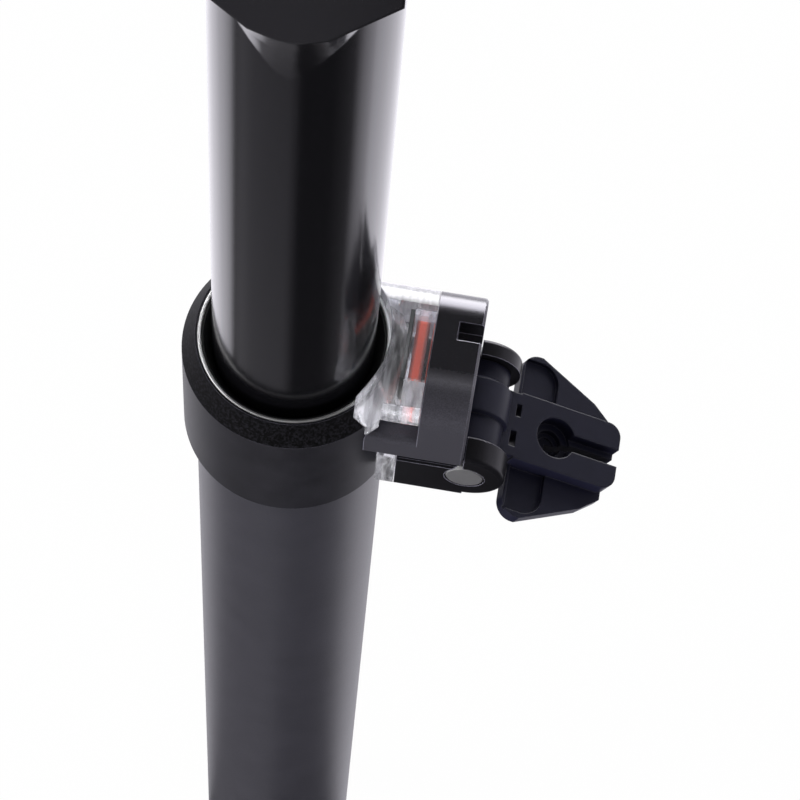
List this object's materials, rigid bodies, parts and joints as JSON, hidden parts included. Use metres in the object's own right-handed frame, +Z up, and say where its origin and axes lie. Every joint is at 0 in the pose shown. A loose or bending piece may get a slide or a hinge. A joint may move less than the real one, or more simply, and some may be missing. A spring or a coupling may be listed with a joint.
{
  "type": "dropper seatpost",
  "caption": "Telescoping bicycle seatpost with a two-bolt saddle clamp; a wing lever beside the collar, pulled by a cable, opens the cartridge.",
  "frame": {"origin": "on the post's axis at the collar's lower face, where the insert tube leaves it", "axes": "+Z up along the post; +X towards the lever module, in the bicycle's fore-and-aft plane; +Y along the clamp's tilt axis"},
  "size_m": [0.0778, 0.0564, 0.423],
  "materials": {
    "tube_charcoal": "satin, fine bead-blasted and anodised charcoal",
    "collar_charcoal": "satin charcoal with a grainier black cone",
    "mast_black": "gloss black, hard anodised and polished",
    "alloy_bare": "machined",
    "rod_chrome": "ground and chromed",
    "foot_black": "anodised black, machined",
    "bush_plastic": "matt bearing plastic",
    "key_brass": "machined",
    "foam": "open foam soaked with oil",
    "seal_rubber": "smooth black rubber",
    "ring_steel": "bright drawn wire",
    "body_black": "black anodised with bright broken edges",
    "cover_clear": "clear, smooth, moulded",
    "slider_red": "orange-red moulded",
    "plate_grey": "dull grey sheet",
    "release_steel": "ground spring steel",
    "pin_steel": "turned face",
    "screw_black": "black oxide",
    "lever_plastic": "matt blue-black moulded",
    "clamp_black": "satin black anodised",
    "bolt_steel": "zinc plated"
  },
  "bodies": {
    "outer": {"lower_tube": "tube_charcoal", "collar": "collar_charcoal", "upper_bushing": "bush_plastic", "foam_ring": "foam", "wiper_seal": "seal_rubber", "retaining_ring": "ring_steel", "piston": "alloy_bare", "cartridge_rod": "rod_chrome", "foot_plug": "foot_black", "rod_nut": "alloy_bare", "rocker_pin": "release_steel", "actuator_body": "body_black", "clear_cover": "cover_clear", "guide_plate": "plate_grey", "hinge_frame": "body_black", "pivot_pin": "pin_steel", "pin_screw": "pin_steel", "body_screw_front": "screw_black", "body_screw_rear": "screw_black", "frame_screw_front": "screw_black", "frame_screw_rear": "screw_black"},
    "mast": {"mast": "mast_black", "lower_bushing": "bush_plastic", "guide_key_1": "key_brass", "guide_key_2": "key_brass", "guide_key_3": "key_brass", "cartridge_cylinder": "alloy_bare", "mast_nut": "alloy_bare", "seal_head": "alloy_bare", "top_out_ring": "seal_rubber", "floating_piston": "alloy_bare", "barrel_nut_front": "bolt_steel", "barrel_nut_rear": "bolt_steel"},
    "lever": {"wing_lever": "lever_plastic"},
    "release": {"red_slider": "slider_red", "lift_strip": "release_steel"},
    "rocker": {"rocker": "release_steel"},
    "valve_pin": {"valve_pin": "release_steel"},
    "saddle_clamp": {"lower_cradle": "clamp_black", "upper_clamp": "clamp_black"},
    "front_bolt": {"clamp_bolt_front": "bolt_steel", "bolt_washer_front": "bolt_steel"},
    "rear_bolt": {"clamp_bolt_rear": "bolt_steel", "bolt_washer_rear": "bolt_steel"}
  },
  "joints": [
    {"name": "mast_slide", "type": "slide", "parent": "outer", "child": "mast", "axis": [0, 0, 1], "range_m": [-0.1, 0]},
    {"name": "lever_hinge", "type": "hinge", "parent": "outer", "child": "lever", "pos_m": [0.0302, 0, 0.0117], "axis": [0, 1, 0], "range_deg": [0, 20], "stiffness_Nm_per_rad": 0.3, "springref_deg": -11.46},
    {"name": "release_slide", "type": "slide", "parent": "outer", "child": "release", "axis": [0, 0, 1], "range_m": [0, 0.0027]},
    {"name": "rocker_hinge", "type": "hinge", "parent": "outer", "child": "rocker", "pos_m": [-0.01, 0, -0.2201], "axis": [0, -1, 0], "range_deg": [0, 6.6]},
    {"name": "valve_slide", "type": "slide", "parent": "outer", "child": "valve_pin", "axis": [0, 0, 1], "range_m": [0, 0.0013]},
    {"name": "saddle_tilt", "type": "hinge", "parent": "mast", "child": "saddle_clamp", "pos_m": [0, 0, 0.189], "axis": [0, 1, 0], "range_deg": [-6, 6]},
    {"name": "front_bolt_slide", "type": "slide", "parent": "mast", "child": "front_bolt", "axis": [0, 0, 1], "range_m": [-0.0019, 0.0019]},
    {"name": "rear_bolt_slide", "type": "slide", "parent": "mast", "child": "rear_bolt", "axis": [0, 0, 1], "range_m": [-0.0019, 0.0019]}
  ],
  "couplings": [
    {"joint": "release_slide", "follows": "lever_hinge", "m_per_rad": 0.0076},
    {"joint": "rocker_hinge", "follows": "lever_hinge", "ratio": 0.3234},
    {"joint": "valve_slide", "follows": "lever_hinge", "m_per_rad": 0.0034},
    {"joint": "front_bolt_slide", "follows": "saddle_tilt", "m_per_rad": -0.0175},
    {"joint": "rear_bolt_slide", "follows": "saddle_tilt", "m_per_rad": 0.0175}
  ]
}
